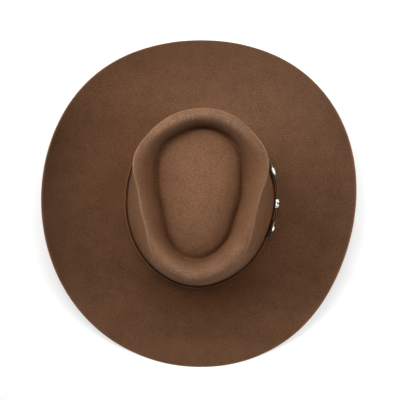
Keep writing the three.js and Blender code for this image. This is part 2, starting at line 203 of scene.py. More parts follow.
floor_mesh = bpy.data.meshes.new("floor")
floor_corners = [
    (FLOOR_HALF * x, FLOOR_HALF * y, 0) for x, y in ((-1, -1), (1, -1), (1, 1), (-1, 1))
]
floor_mesh.from_pydata(floor_corners, [], [(0, 1, 2, 3)])
floor_mesh.materials.append(floor_material)
floor = placed("floor", floor_mesh)


# The small soft lights, which reach the hat alone, and then the wide ones: bearing from the
# front over the wearer's left, angle from straight above, power in watts, distance and size
SPOT_ROWS = (
    (250, 45, 44),
    (225, 45, 23.5),
    (205, 45, 9.6),
    (135, 45, 11.3),
    (225, 30, 23.3),
    (180, 30, 11.4),
    (135, 30, 11.7),
    (180, 15, 20.2),
    (180, 60, 8.98),
    (270, 60, 2.5),
)
SPOT_DISTANCE = 1.5
SPOT_SIZE = 0.2
SPOT_REACH = 0.25
DISK_ROWS = (
    (90, 72, 12.8, 2, 0.9),
    (270, 72, 10.6, 2, 0.9),
    (45, 76, 2.6, 2, 0.9),
    (90, 50, 9.6, 2, 0.9),
    (225, 72, 7.36, 2, 0.9),
    (180, 30, 1.79, 0.75, 0.35),
    (0, 84, 8, 2, 0.9),
)
LIGHT_AIM = Vector((0, 0, 0.1))


def soft_light(kind, number, bearing, slope, power, distance, size):
    """A soft light that faces the hat."""
    data = bpy.data.lights.new(f"{kind.lower()}_light_{number}", kind)
    data.energy = power
    if kind == "SPOT":
        data.shadow_soft_size = size
        data.spot_size = 2 * math.atan(SPOT_REACH / distance)
        data.spot_blend = 1
    else:
        data.shape = "DISK"
        data.size = size
    light = placed(data.name, data)
    bearing, slope = math.radians(bearing), math.radians(slope)
    aside = math.sin(slope)
    away = Vector((aside * math.sin(bearing), -aside * math.cos(bearing), math.cos(slope)))
    light.location = LIGHT_AIM + distance * away
    light.rotation_mode = "QUATERNION"
    light.rotation_quaternion = away.to_track_quat("Z", "Y")


for number, row in enumerate(SPOT_ROWS):
    soft_light("SPOT", number, *row, SPOT_DISTANCE, SPOT_SIZE)
for number, row in enumerate(DISK_ROWS):
    soft_light("AREA", number, *row)


# The felt: crown and brim are one body, blocked over a form from a cone of fur felt, dented by
# hand round the top, the brim's sides rolled up with steam and its edge cut and left raw.

MM = 0.001
CROWN_WIDTH = 172.4 * MM
CROWN_LENGTH = 202 * MM
CROWN_HEIGHT = 105 * MM
CROWN_TURN = math.radians(-4)
CROWN_DRAW = 0.99
DENT_DEPTH = 28 * MM
DOME_DROP = 13 * MM
FULL_SHOULDER = 0.78
RIDGE_SHOULDER = 1
BEND_RADIUS = 3 * MM
BRIM_WIDTH = 362.6 * MM
BRIM_LENGTH = 388 * MM
BRIM_FORWARD = 4.8 * MM
BRIM_ASIDE = 2.2 * MM
BREAK_HEIGHT = 25 * MM
BREAK_ARCH = 2 * MM
SIDE_HEIGHT = 42 * MM
EDGE_CURL = 3 * MM
TABLE_EASE = 1.5 * MM
FELT_THICKNESS = 2.2 * MM
STRAP_HEIGHT = 12 * MM
FIT_GAP = 0.3 * MM
KEEPER_METAL = 0.8 * MM
STRAP_SEAT = BEND_RADIUS + KEEPER_METAL + FIT_GAP

# One row for each twenty degrees, once round from the front over the wearer's left. The crown's
# foot is a share of an oval's reach, the crease round the domed top and the crown's shoulder are
# shares of the foot's reach, height is a share of the crown's, depth of the dent's. Ridge says how
# far the top is pinched into a crisp shoulder, lift how far the brim rolls up, and edge is a share
# of the oval of the brim's box.
HAT_COLUMNS = ("foot", "crease", "shoulder", "height", "depth", "ridge", "lift", "edge")
HAT_ROWS = (
    (1, 0.665, 0.9, 1, 0.98, 0, 0, 1),
    (0.985, 0.623, 0.866, 0.998, 0.99, 0.1, 0.1, 1.01),
    (0.99, 0.559, 0.815, 0.992, 1, 0.35, 0.38, 1.006),
    (0.985, 0.505, 0.747, 0.982, 1, 0.8, 0.72, 0.987),
    (0.992, 0.512, 0.722, 0.972, 0.98, 1, 0.95, 0.988),
    (0.99, 0.544, 0.802, 0.965, 0.96, 1, 0.97, 1.012),
    (0.965, 0.625, 0.99, 0.962, 0.94, 0.8, 0.78, 1.04),
    (0.975, 0.741, 1.007, 0.962, 0.9, 0.3, 0.42, 1.047),
    (0.99, 0.775, 1.008, 0.964, 0.86, 0, 0.13, 1.022),
    (1, 0.783, 0.995, 0.965, 0.84, 0, 0.02, 1),
    (1, 0.773, 0.997, 0.964, 0.86, 0, 0.16, 1.013),
    (1, 0.767, 0.99, 0.962, 0.9, 0.3, 0.52, 1.027),
    (0.995, 0.654, 0.967, 0.962, 0.94, 0.8, 0.86, 1.017),
    (0.99, 0.582, 0.819, 0.965, 0.96, 1, 0.98, 1.004),
    (0.995, 0.528, 0.76, 0.972, 0.98, 1, 0.95, 0.998),
    (1, 0.543, 0.752, 0.982, 1, 0.8, 0.72, 1.002),
    (1, 0.61, 0.85, 0.992, 1, 0.3, 0.38, 1.007),
    (1, 0.666, 0.892, 0.998, 0.99, 0.05, 0.1, 1.004),
)
# Rings of the domed top out to the crease: share of the crease's reach, and of the dome's drop
DOME_ROWS = (
    (0.35, 0.08),
    (0.6, 0.24),
    (0.8, 0.48),
    (0.92, 0.73),
)
# Rings over the roll round the top: share of the way out from the crease to the shoulder, and
# height above the crease where the roll is full and where it rises to a ridge
ROLL_ROWS = (
    (0.1, 0.32, 0.13),
    (0.25, 0.67, 0.34),
    (0.47, 0.95, 0.64),
    (0.68, 1, 0.87),
    (0.88, 0.92, 0.99),
)
# Rings down the wall where it is full and where it is pinched: share of the way out from the
# shoulder to the foot, and height as a share of the shoulder's
WALL_ROWS = (
    (0.27, 0.875, 0.25, 0.8),
    (0.44, 0.75, 0.52, 0.56),
    (0.56, 0.53, 0.8, 0.33),
)
# Rings of the brim outwards: place across it, height left where it falls to the table, height
# gained where it rolls up, and share of the curl at its edge
BRIM_ROWS = (
    (0.22, 0.66, 0.01, 0),
    (0.48, 0.32, 0.1, 0),
    (0.74, -0.02, 0.36, 0),
    (0.9, -0.11, 0.72, 0),
    (1, -0.14, 1, 1),
)
BEND_TURNS = (0, 45, 90)


def mix(first, second, share):
    return first + (second - first) * share


def unit(vectors):
    return vectors / np.linalg.norm(vectors, axis=-1, keepdims=True)


def bell(value, width):
    """One at nought, falling away smoothly on both sides."""
    return np.exp(-((value / width) ** 2))


def closed_spline(values):
    """A smooth closed curve through values at equal steps of one turn."""
    values = np.array(values, float)
    pull = 6 * (np.roll(values, 1) - 2 * values + np.roll(values, -1))
    count = len(values)
    links = 4 * np.eye(count) + np.roll(np.eye(count), 1, 0) + np.roll(np.eye(count), -1, 0)
    bend = np.linalg.solve(links, pull)

    def at(bearing):
        place = np.mod(np.asarray(bearing) / (2 * np.pi), 1) * count
        i = np.floor(place).astype(int) % count
        far = place - np.floor(place)
        near = 1 - far
        j = (i + 1) % count
        bent = (near**3 - near) * bend[i] + (far**3 - far) * bend[j]
        return near * values[i] + far * values[j] + bent / 6

    return at


hat_columns = {}
for number, column in enumerate(HAT_COLUMNS):
    hat_columns[column] = closed_spline([row[number] for row in HAT_ROWS])


def oval_reach(bearing, width, length):
    return 1 / np.hypot(np.sin(bearing) / (width / 2), np.cos(bearing) / (length / 2))


def crown_point(bearing, reach, height):
    """Points at a bearing and reach from the crown's middle."""
    x, y = reach * np.sin(bearing), -reach * np.cos(bearing)
    return np.stack(np.broadcast_arrays(x, y, height), -1)


def break_height(bearing):
    return BREAK_HEIGHT + BREAK_ARCH * hat_columns["lift"](bearing)


def foot_reach(bearing):
    oval = oval_reach(bearing - CROWN_TURN, CROWN_WIDTH, CROWN_LENGTH)
    return oval * hat_columns["foot"](bearing)


def foot_point(bearing):
    return crown_point(bearing, foot_reach(bearing), 0.0)


def rest_on_table(height):
    """What would sink below the felt's own thickness lies flat, with a soft start."""
    clear = height - FELT_THICKNESS
    eased = np.maximum(0, clear + TABLE_EASE)
    return np.where(clear >= TABLE_EASE, height, FELT_THICKNESS + eased**2 / (4 * TABLE_EASE))


def felt_rings(bearing):
    """The felt's outer surface at each bearing: a ring of points for each fold of its profile."""
    share = {column: spline(bearing) for column, spline in hat_columns.items()}
    foot = foot_reach(bearing)
    base = break_height(bearing)
    top = base + CROWN_HEIGHT * share["height"]
    crease = top - DENT_DEPTH * share["depth"]
    middle = BREAK_HEIGHT + CROWN_HEIGHT - DOME_DROP
    crease_reach = foot * share["crease"]
    shoulder_reach = foot * share["shoulder"]
    ridge = share["ridge"]
    shoulder = mix(crease, top, mix(FULL_SHOULDER, RIDGE_SHOULDER, ridge))
    rings = [crown_point(bearing, 0 * bearing, middle)]
    for across, sunk in DOME_ROWS:
        rings.append(crown_point(bearing, crease_reach * across, mix(middle, crease, sunk)))
    rings.append(crown_point(bearing, crease_reach, crease))
    for across, full, pinched in ROLL_ROWS:
        reach = mix(crease_reach, shoulder_reach, across)
        rings.append(crown_point(bearing, reach, mix(crease, top, mix(full, pinched, ridge))))
    rings.append(crown_point(bearing, shoulder_reach, shoulder))
    for full, full_height, pinched, pinched_height in WALL_ROWS:
        reach = mix(shoulder_reach, foot, mix(full, pinched, ridge))
        height = mix(base, shoulder, mix(full_height, pinched_height, ridge))
        rings.append(crown_point(bearing, reach, height))
    strap_top = base + STRAP_SEAT + STRAP_HEIGHT + FIT_GAP
    rings.append(crown_point(bearing, foot * CROWN_DRAW, strap_top))
    for turn in BEND_TURNS:
        out, down = 1 - math.cos(math.radians(turn)), 1 - math.sin(math.radians(turn))
        rings.append(crown_point(bearing, foot + BEND_RADIUS * out, base + BEND_RADIUS * down))
    start = rings[-1]
    edge_reach = oval_reach(bearing, BRIM_WIDTH, BRIM_LENGTH) * share["edge"]
    edge_x = edge_reach * np.sin(bearing) - BRIM_ASIDE
    edge_y = -edge_reach * np.cos(bearing) - BRIM_FORWARD
    for across, fall, rise, curl in BRIM_ROWS:
        risen = mix(base, SIDE_HEIGHT, rise) + EDGE_CURL * curl
        height = mix(BREAK_HEIGHT * fall, risen, share["lift"])
        x, y = mix(start[..., 0], edge_x, across), mix(start[..., 1], edge_y, across)
        rings.append(np.stack((x, y, height), -1))
    return rings


def curve_through(points, steps):
    """Points along the smooth curve through rings of points, with a number of steps for each."""
    points = np.array(points)
    points = np.concatenate((2 * points[:1] - points[1:2], points, 2 * points[-1:] - points[-2:-1]))
    gaps = np.linalg.norm(np.diff(points, axis=0), axis=-1, keepdims=True) ** 0.5
    gaps = np.maximum(gaps, 1e-6)
    along = []
    for i, count in enumerate(steps):
        a, b, c, d = points[i:i + 4]
        before, here, after = gaps[i:i + 3]
        leave = ((b - a) / before - (c - a) / (before + here) + (c - b) / here) * here
        arrive = ((c - b) / here - (d - b) / (here + after) + (d - c) / after) * here
        for step in range(1, count + 1):
            t = step / count
            bent = (2 * b - 2 * c + leave + arrive) * t**3
            along.append(b + leave * t + (3 * c - 3 * b - 2 * leave - arrive) * t**2 + bent)
    return np.array(along)


def solid_from_loops(loops, joined=False, ends=None):
    """Points and faces of a closed solid: loops of points one after another, fans at both ends."""
    loops = np.asarray(loops, float)
    count, around = loops.shape[:2]
    points = loops.reshape(-1, 3)
    i = np.arange(count if joined else count - 1)[:, None] * around
    j = np.arange(around)[None, :]
    next_i = (i + around) % (count * around)
    next_j = (j + 1) % around
    quads = np.stack((i + j, i + next_j, next_i + next_j, next_i + j), -1).reshape(-1, 4)
    faces = quads.tolist()
    if not joined:
        first, last = ends or (loops[0].mean(0), loops[-1].mean(0))
        points = np.concatenate((points, [first, last]))
        hub = count * around
        tail = (count - 1) * around
        for k in range(around):
            beside = (k + 1) % around
            faces.append((hub, beside, k))
            faces.append((hub + 1, tail + k, tail + beside))
    return points, faces


def solid_mesh(name, points, faces, material):
    """A smooth mesh of points and faces in one material, with its faces turned outwards."""
    mesh = bpy.data.meshes.new(name)
    mesh.from_pydata(points, [], faces)
    first, second, third, last = (points[[face[k] for face in faces]] for k in (0, 1, 2, -1))
    if np.sum(first * (np.cross(second, third) + np.cross(third, last))) < 0:
        mesh.flip_normals()
    mesh.shade_smooth()
    mesh.materials.append(material)
    return mesh


def mark(mesh, name, values):
    """Gives each point of a mesh a number for its material to read."""
    attribute = mesh.attributes.new(name, "FLOAT", "POINT")
    attribute.data.foreach_set("value", values)


def carried(name, mesh, node):
    """A finished piece of the hat on the root body, in the place of its plain solid."""
    mesh.name = name
    piece = placed(name, mesh)
    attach(piece, "root")
    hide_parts(node)


FELT_COLUMNS = 300
# Steps from each ring of the profile to the next, the bend at the crown's foot among them
TOP_STEPS = (10, 6, 5, 4, 4, 4, 5, 5, 5, 5, 5, 7, 7, 6, 5, 3, 2, 2, 6, 6, 6, 5, 4)
SMOOTHINGS = 3
EDGE_ROUND = 0.7 * MM
# The two rounded corners of the cut edge, upper and lower, and turns round them in degrees
RIM_TURNS = ((0, 0), (0, 30), (0, 60), (0, 90), (1, 90), (1, 60), (1, 30), (1, 0))

# Painted shade and light: a darker copy of the felt for creases and the crown's front foot, a paler
# copy for lit crests and brim, and a painted highlight colour for the shoulder
FELT_PAINTED_SHADE = (0.104, 0.056, 0.0315, 1)
FELT_PAINTED_LIGHT = (0.154, 0.099, 0.068, 1)
FELT_HIGHLIGHT = (0.195, 0.130, 0.090, 1)
FELT_EDGE = (0.17, 0.100, 0.062, 1)
# Patterns in the felt: its fibres, broad clouds, and the hairs of its nap with the depth and
# strength of their relief
FELT_FIBRES = (820, 3, 0.6)
FELT_CLOUDS = (60, 3, 0.55)
NAP_HAIRS = (1500, 4, 0.7)
NAP_RELIEF = (0.5 * MM, 0.8)
FELT_SHEEN = 0.1
FELT_TINT = (0.6, 0.36, 0.22, 1)
FIBRE_SHARE = 0.8
TONE_RANGE = (0.3, 0.7)
# How much the fibres lighten and darken the felt, and how much more where it has painted light
FELT_GRAIN = 0.42
LIT_GRAIN = 0.2
# The painted highlight along the crown's shoulder ridge: its strength, its fold, its breadth in
# rings, the share that is lost in front, and the cosine of the bearing where that starts and its
# ease
HIGHLIGHT_STRENGTH = 0.8
SHOULDER_RING = 11
HIGHLIGHT_RINGS = 1.6
HIGHLIGHT_LOST = 0.8
HIGHLIGHT_FRONT = 0.6
HIGHLIGHT_EASE = 0.3
# How pale the cut edge is where it starts at the upper corner
EDGE_START = 0.6
# How much painted light the felt has, with painted shade at nought in the crease and at the crown's
# foot in front: number of the profile's fold, and its share in front, at the pinched sides and
# behind
PAINTED_LIGHT_ROWS = (
    (0, 0.42, 0.42, 0.42),
    (3, 0.35, 0.3, 0.4),
    (4, 0.2, 0.1, 0.35),
    (5, 0, 0, 0.05),
    (7, 0.6, 0.2, 0.6),
    (9, 0.85, 0.4, 0.95),
    (10, 0.9, 0.45, 0.9),
    (11, 0.95, 0.55, 0.9),
    (12, 1, 0.45, 0.8),
    (13, 1, 0.35, 0.7),
    (15, 0.85, 0.25, 0.5),
    (16, 0.5, 0.15, 0.3),
    (18, 0, 0.15, 0.2),
    (19, 0.05, 0.2, 0.22),
    (20, 0.27, 0.25, 0.25),
    (23, 0.4, 0.37, 0.33),
)
# How soon the pinched sides' painted light takes over, and the brim's painted light on the side of
# the lamps
SIDE_SHARE = 1.7
SUN_BEARING = math.radians(145)
BRIM_PAINTED_LIGHT = 0.25
BRIM_RING = 17

felt_bearing = np.arange(FELT_COLUMNS) / FELT_COLUMNS * 2 * np.pi
outer = curve_through(felt_rings(felt_bearing), TOP_STEPS)
for _ in range(SMOOTHINGS):
    outer[1:-1] = (outer[:-2] + 2 * outer[1:-1] + outer[2:]) / 4
outer[..., 2] = rest_on_table(outer[..., 2])
pole = felt_rings(felt_bearing[:1])[0][0]


def surface_normals(rings, middle):
    """The outward direction of a surface of rings at each of its points."""
    inwards = np.concatenate((np.broadcast_to(middle, rings[:1].shape), rings[:-1]))
    outwards = np.concatenate((rings[1:], rings[-1:]))
    across = np.roll(rings, -1, 1) - np.roll(rings, 1, 1)
    return unit(np.cross(outwards - inwards, across))


normals = surface_normals(outer, pole)
inner = (outer - normals * FELT_THICKNESS)[::-1]
edge_out = unit(outer[-1] - outer[-2])
rim = []
for corner, turn in RIM_TURNS:
    angle = math.radians(turn)
    down = EDGE_ROUND * (1 - math.cos(angle))
    if corner:
        down = FELT_THICKNESS - down
    out = EDGE_ROUND * (math.sin(angle) - 1)
    rim.append(outer[-1] + edge_out * out - normals[-1] * down)
loops = np.concatenate((outer[:-1], rim, inner[1:]))
under_pole = pole - np.array((0, 0, FELT_THICKNESS))
felt_points, felt_faces = solid_from_loops(loops, ends=(pole, under_pole))

# The crown is built about its own middle, and the hat stands over the middle of its box
shift = -(felt_points.min(0) + felt_points.max(0)) / 2
shift[2] = 0
felt_points = felt_points + shift


def felt_finish(paint, colour, sheen, tint, relief):
    """Ends the material of a felt: dull, with the soft sheen and the relief of its hairs."""
    return paint.finish({
        "Base Color": colour,
        "Roughness": 0.92,
        "Specular IOR Level": 0,
        "Sheen Weight": sheen,
        "Sheen Roughness": 0.5,
        "Sheen Tint": tint,
        "Normal": paint.bump(paint.noise(*NAP_HAIRS), *relief),
    })


felt_paint = Paint("brown_fur_felt")
grain = felt_paint.noise(*FELT_FIBRES)
clouds = felt_paint.noise(*FELT_CLOUDS)
tone = FIBRE_SHARE * grain + (1 - FIBRE_SHARE) * clouds
# Painted shade and light: from a shaded to a lit copy of the felt, then a painted highlight along
# the shoulder
faded = felt_paint.attribute("faded")
highlight_share = HIGHLIGHT_STRENGTH * felt_paint.attribute("nap_line")
felt_colour = felt_paint.blend(FELT_PAINTED_SHADE, FELT_PAINTED_LIGHT, faded)
felt_colour = felt_paint.blend(felt_colour, FELT_HIGHLIGHT, highlight_share)
felt_colour = felt_paint.blend(felt_colour, FELT_EDGE, felt_paint.attribute("cut_edge"))
grain_depth = LIT_GRAIN * faded + FELT_GRAIN
grained = grain_depth * (tone.between(*TONE_RANGE) - 0.5) + 1
felt_colour = felt_paint.shade(felt_colour, grained)
felt_material = felt_finish(felt_paint, felt_colour, FELT_SHEEN, FELT_TINT, NAP_RELIEF)

felt_mesh = solid_mesh("felt_hat_body", felt_points, felt_faces, felt_material)
ring_number = np.arange(len(felt_points)) // FELT_COLUMNS
ring_bearing = felt_bearing[np.arange(len(felt_points)) % FELT_COLUMNS]

rim_first, rim_last = len(outer) - 1, len(outer) + len(rim) - 2
cut_edge = np.where(ring_number == rim_first, EDGE_START, 0.0)
cut_edge[(ring_number > rim_first) & (ring_number < rim_last)] = 1
mark(felt_mesh, "cut_edge", cut_edge)

# Painted light and shade by fold and bearing, with painted light on the brim towards the lamps
ring_places = np.cumsum((0,) + TOP_STEPS) - 1
painted_light_places = ring_places[[row[0] for row in PAINTED_LIGHT_ROWS]]
lit_front, lit_side, lit_back = (
    np.interp(ring_number, painted_light_places, shares) for shares in np.array(PAINTED_LIGHT_ROWS)[:, 1:].T
)
painted_lit = np.where(np.cos(ring_bearing) > 0, lit_front, lit_back)
painted_lit = mix(painted_lit, lit_side, np.clip(SIDE_SHARE * hat_columns["ridge"](ring_bearing), 0, 1))
sunny = np.clip(np.cos(ring_bearing - SUN_BEARING), 0, 1) ** 2
painted_lit += BRIM_PAINTED_LIGHT * sunny * (ring_number > ring_places[BRIM_RING])
mark(felt_mesh, "faded", np.clip(painted_lit, 0, 1))

# A painted highlight along the crown's shoulder, weaker in front
nap_line = bell(ring_number - ring_places[SHOULDER_RING], HIGHLIGHT_RINGS)
nap_line *= 1 - HIGHLIGHT_LOST * np.clip((np.cos(ring_bearing) - HIGHLIGHT_FRONT) / HIGHLIGHT_EASE, 0, 1)
mark(felt_mesh, "nap_line", nap_line)
carried("felt_hat_body", felt_mesh, "felt_body")


# The strap: a ribbon of the same felt with raw cut edges. It lies round the foot of the crown,
# goes through the buckle and over its own start, and ends in the silver tip.

STRAP_THICKNESS = 1.2 * MM
STRAP_CORNER = 0.35 * MM
STRAP_STEP = 1.5 * MM
# The buckle's middle lies so far before the keeper's along the strap, and the tip starts so far
# after it; the strap's end fills a share of the tip
KEEPER_BEARING = math.radians(87)
KEEPER_LENGTH = 9.5 * MM
KEEPER_BACK = 0.4 * MM
BUCKLE_MIDDLE = 29.5 * MM
BUCKLE_LENGTH = 24 * MM
FRAME_METAL = 1.5 * MM
FRAME_FAR = 6.5 * MM
FRAME_RAIL = 1.9 * MM
HEEL_BAR = 1 * MM
TONGUE_WIDTH = 2.4 * MM
TONGUE_METAL = 1 * MM
TIP_START = 25 * MM
TIP_LENGTH = 27 * MM
TIP_BACK = 0.3 * MM
TIP_FILLED = 0.8
RELIEF = 0.6 * MM
BEND_EASE = 1 * MM
LINE_STEPS = 1440
LINE_LOOK = math.radians(0.5)

HALF_STRAP = STRAP_HEIGHT / 2
FIRST_LAYER = FIT_GAP + KEEPER_BACK + FIT_GAP
LAPPED_LAYER = FIRST_LAYER + STRAP_THICKNESS + FIT_GAP
TIP_LAYER = LAPPED_LAYER + TIP_BACK + FIT_GAP
OVER_BAR = LAPPED_LAYER + HEEL_BAR + FIT_GAP
FRAME_TOP = LAPPED_LAYER + FRAME_METAL
HALF_KEEPER = KEEPER_LENGTH / 2
BUCKLE_FAR = -BUCKLE_MIDDLE - BUCKLE_LENGTH / 2
BUCKLE_HEEL = -BUCKLE_MIDDLE + BUCKLE_LENGTH / 2
WINDOW_FAR = BUCKLE_FAR + FRAME_FAR
WINDOW_HEEL = BUCKLE_HEEL - FRAME_RAIL

line_bearing = KEEPER_BEARING + np.linspace(0, 2 * np.pi, LINE_STEPS + 1)
line_gaps = np.linalg.norm(np.diff(foot_point(line_bearing), axis=0), axis=-1)
line_along = np.concatenate(([0.0], np.cumsum(line_gaps)))
LINE_LENGTH = line_along[-1]


def on_strap(along, up, out):
    """Points beside the strap's line: along it, up from its middle, and out from the wall."""
    along, up, out = np.broadcast_arrays(along, up, out)
    bearing = np.interp(np.mod(along, LINE_LENGTH), line_along, line_bearing)
    point = foot_point(bearing)
    forward = unit(foot_point(bearing + LINE_LOOK) - foot_point(bearing - LINE_LOOK))
    x = point[..., 0] + forward[..., 1] * out
    y = point[..., 1] - forward[..., 0] * out
    z = break_height(bearing) + STRAP_SEAT + HALF_STRAP + up
    return np.stack((x, y, z), -1) + shift


def smoothstep(value, low, high):
    share = np.clip((value - low) / (high - low), 0, 1)
    return share * share * (3 - 2 * share)


def strap_out(along):
    """How far out the strap's inner face lies, from its start in the buckle to its end."""
    climb = smoothstep(along, WINDOW_FAR + BEND_EASE, WINDOW_HEEL - BEND_EASE)
    settle = smoothstep(along, BUCKLE_HEEL + BEND_EASE, -HALF_KEEPER - BEND_EASE)
    lift = smoothstep(along, HALF_KEEPER + BEND_EASE, TIP_START - BEND_EASE)
    return mix(mix(mix(FIRST_LAYER, OVER_BAR, climb), LAPPED_LAYER, settle), TIP_LAYER, lift)


# The share of the frame's far side that the tongue leaves bare, and of its width that its end has
TONGUE_REACH = 0.25
TONGUE_TAPER = 0.7
# Shares of the tongue's length: where it comes to lie on the frame, and where its end is rounded
TONGUE_LANDS = 0.5
TONGUE_ROUND = (0.9, 1.02)
TONGUE_SHRINK = 0.75
TONGUE_POWER = 0.75
TONGUE_STEPS = 40
TONGUE_AROUND = 20


def oblong(turn, power, width, height):
    """Points round an oval that is bent towards an oblong, the more so the less its power."""
    x, y = np.cos(turn), np.sin(turn)
    return width * np.sign(x) * np.abs(x) ** power, height * np.sign(y) * np.abs(y) ** power


def tongue_loops(extra):
    """Rings along the tongue, or along the room for it, larger by extra all round."""
    share = np.linspace(0, 1, TONGUE_STEPS + 1)[:, None]
    root = WINDOW_HEEL - FIT_GAP + extra
    end = BUCKLE_FAR + FRAME_FAR * TONGUE_REACH - extra
    lying = FRAME_TOP + RELIEF + FIT_GAP
    low = mix(LAPPED_LAYER, lying, smoothstep(share, 0, TONGUE_LANDS))
    half = TONGUE_WIDTH / 2 * mix(1, TONGUE_TAPER, share)
    blunt = 1
    if extra == 0:
        blunt = np.sqrt(1 - TONGUE_SHRINK * smoothstep(share, *TONGUE_ROUND) ** 2)
    turn = np.arange(TONGUE_AROUND) / TONGUE_AROUND * 2 * np.pi
    side, rise = oblong(turn, TONGUE_POWER, 1, 0.5)
    out = low - extra + (TONGUE_METAL + 2 * extra) * (0.5 + rise) * mix(1, blunt, 0.5)
    return on_strap(mix(root, end, share), (half * blunt + extra) * side, out)


def plain_mesh(name, points, faces=(), edges=()):
    """An object that only serves the making of a piece."""
    mesh = bpy.data.meshes.new(name)
    mesh.from_pydata(np.asarray(points).tolist(), edges, faces)
    return placed(name, mesh)


def facing_up(mesh):
    """How far the surface faces up at each point of a mesh, from one to minus one."""
    normals = np.zeros(3 * len(mesh.vertices))
    mesh.vertex_normals.foreach_get("vector", normals)
    return normals[2::3]


def path_mesh(name, points):
    """A path through points, for a tree to follow."""
    return plain_mesh(name, points, edges=[(i, i + 1) for i in range(len(points) - 1)])


class Maker(Tree):
    """A geometry-nodes tree under construction, with named inputs for sizes."""

    def __init__(self, name, sizes):
        super().__init__(bpy.data.node_groups.new(name, "GeometryNodeTree"))
        interface = self.tree.interface
        interface.new_socket("Geometry", in_out="OUTPUT", socket_type="NodeSocketGeometry")
        interface.new_socket("Geometry", in_out="INPUT", socket_type="NodeSocketGeometry")
        self.identifiers = {}
        for size, kind in sizes.items():
            socket = interface.new_socket(size, in_out="INPUT", socket_type="NodeSocket" + kind)
            self.identifiers[size] = socket.identifier
        self.inputs = self.node("NodeGroupInput")

    def finish(self, geometry, material):
        """Ends the tree: instances made real, smooth, with the material."""
        geometry = self.node("GeometryNodeRealizeInstances", None, {0: geometry})[0]
        geometry = self.node("GeometryNodeSetShadeSmooth", None, {0: geometry})[0]
        sockets = {"Geometry": geometry, "Material": material}
        geometry = self.node("GeometryNodeSetMaterial", None, sockets)[0]
        self.node("NodeGroupOutput", None, {0: geometry})

    def apply(self, source, values):
        """The plain mesh that the tree makes of an object, which is removed."""
        modifier = source.modifiers.new("maker", "NODES")
        modifier.node_group = self.tree
        for size, value in values.items():
            modifier[self.identifiers[size]] = value
        graph = bpy.context.evaluated_depsgraph_get()
        mesh = bpy.data.meshes.new_from_object(source.evaluated_get(graph), depsgraph=graph)
        source.modifiers.remove(modifier)
        bpy.data.objects.remove(source)
        return mesh


STRAP_DARK = (0.084, 0.047, 0.0285, 1)
STRAP_LIGHT = (0.130, 0.076, 0.047, 1)
STRAP_EDGE = (0.15, 0.090, 0.056, 1)
STRAP_FIBRES = (900, 3, 0.65)
STRAP_CLOUDS = (90, 4, 0.6)
STRAP_FIBRE_SHARE = 0.6
STRAP_RELIEF = (0.3 * MM, 0.6)
STRAP_SHEEN = 0.04
STRAP_TINT = (0.6, 0.38, 0.24, 1)
# How upright a face is where the strap's surface turns into its paler cut edge
CUT_UPRIGHT = (0.4, 0.8)

strap_paint = Paint("brown_felt_strap")
strap_tone = STRAP_FIBRE_SHARE * strap_paint.noise(*STRAP_FIBRES)
strap_tone = strap_tone + (1 - STRAP_FIBRE_SHARE) * strap_paint.noise(*STRAP_CLOUDS)
strap_colour = strap_paint.blend(STRAP_DARK, STRAP_LIGHT, strap_tone.between(*TONE_RANGE))
strap_colour = strap_paint.blend(strap_colour, STRAP_EDGE, strap_paint.attribute("cut_edge"))
strap_material = felt_finish(
    strap_paint, strap_colour, STRAP_SHEEN, STRAP_TINT, STRAP_RELIEF
)

ribbon = Maker("ribbon_on_a_path", {
    "Height": "Float", "Thickness": "Float", "Corner": "Float", "Slot": "Object",
    "Material": "Material",
})
ribbon_line = ribbon.node("GeometryNodeMeshToCurve", None, {0: ribbon.inputs["Geometry"]})[0]
ribbon_line = ribbon.node("GeometryNodeSetCurveNormal", {"mode": "Z_UP"}, {0: ribbon_line})[0]
section_sizes = {0: ribbon.inputs["Thickness"], 1: ribbon.inputs["Height"]}
section = ribbon.node("GeometryNodeCurvePrimitiveQuadrilateral", None, section_sizes)[0]
corners = {"Curve": section, "Radius": ribbon.inputs["Corner"], "Count": 4}
section = ribbon.node("GeometryNodeFilletCurve", {"mode": "POLY"}, corners)[0]
sweep = {"Curve": ribbon_line, "Profile Curve": section, "Fill Caps": True}
swept = ribbon.node("GeometryNodeCurveToMesh", None, sweep)[0]
cutter = ribbon.node("GeometryNodeObjectInfo", None, {"Object": ribbon.inputs["Slot"]})
slotted = {"Mesh 1": swept, "Mesh 2": cutter["Geometry"]}
swept = ribbon.node("GeometryNodeMeshBoolean", {"operation": "DIFFERENCE"}, slotted)[0]
ribbon.finish(swept, ribbon.inputs["Material"])

strap_end = LINE_LENGTH + TIP_START + TIP_LENGTH * TIP_FILLED
strap_along = np.arange(WINDOW_HEEL, strap_end, STRAP_STEP)
strap_low = np.where(
    strap_along < LINE_LENGTH / 2, FIRST_LAYER, strap_out(strap_along - LINE_LENGTH)
)
strap_path = on_strap(strap_along, 0.0, strap_low + STRAP_THICKNESS / 2)
tongue_room = plain_mesh("tongue_room", *solid_from_loops(tongue_loops(FIT_GAP)))
strap_mesh = ribbon.apply(path_mesh("strap_path", strap_path), {
    "Height": STRAP_HEIGHT, "Thickness": STRAP_THICKNESS, "Corner": STRAP_CORNER,
    "Slot": tongue_room, "Material": strap_material,
})
bpy.data.objects.remove(tongue_room)
mark(strap_mesh, "cut_edge", smoothstep(np.abs(facing_up(strap_mesh)), *CUT_UPRIGHT))
carried("felt_hat_strap", strap_mesh, "hat_band")


# The buckle's frame: cast silver-coloured metal with scrolls in relief on its broad far side and
# a rope edge, its hollows left dark. The strap goes through it and over its thin heel bar.

FRAME_AROUND = 280
FRAME_SHARES = 22
OUTLINE_POWER = 0.6
WINDOW_POWER = 0.3
# Where the metal thins towards the heel bar, as shares of the window's half length from its middle
HEEL_THINS = (0.1, 0.85)
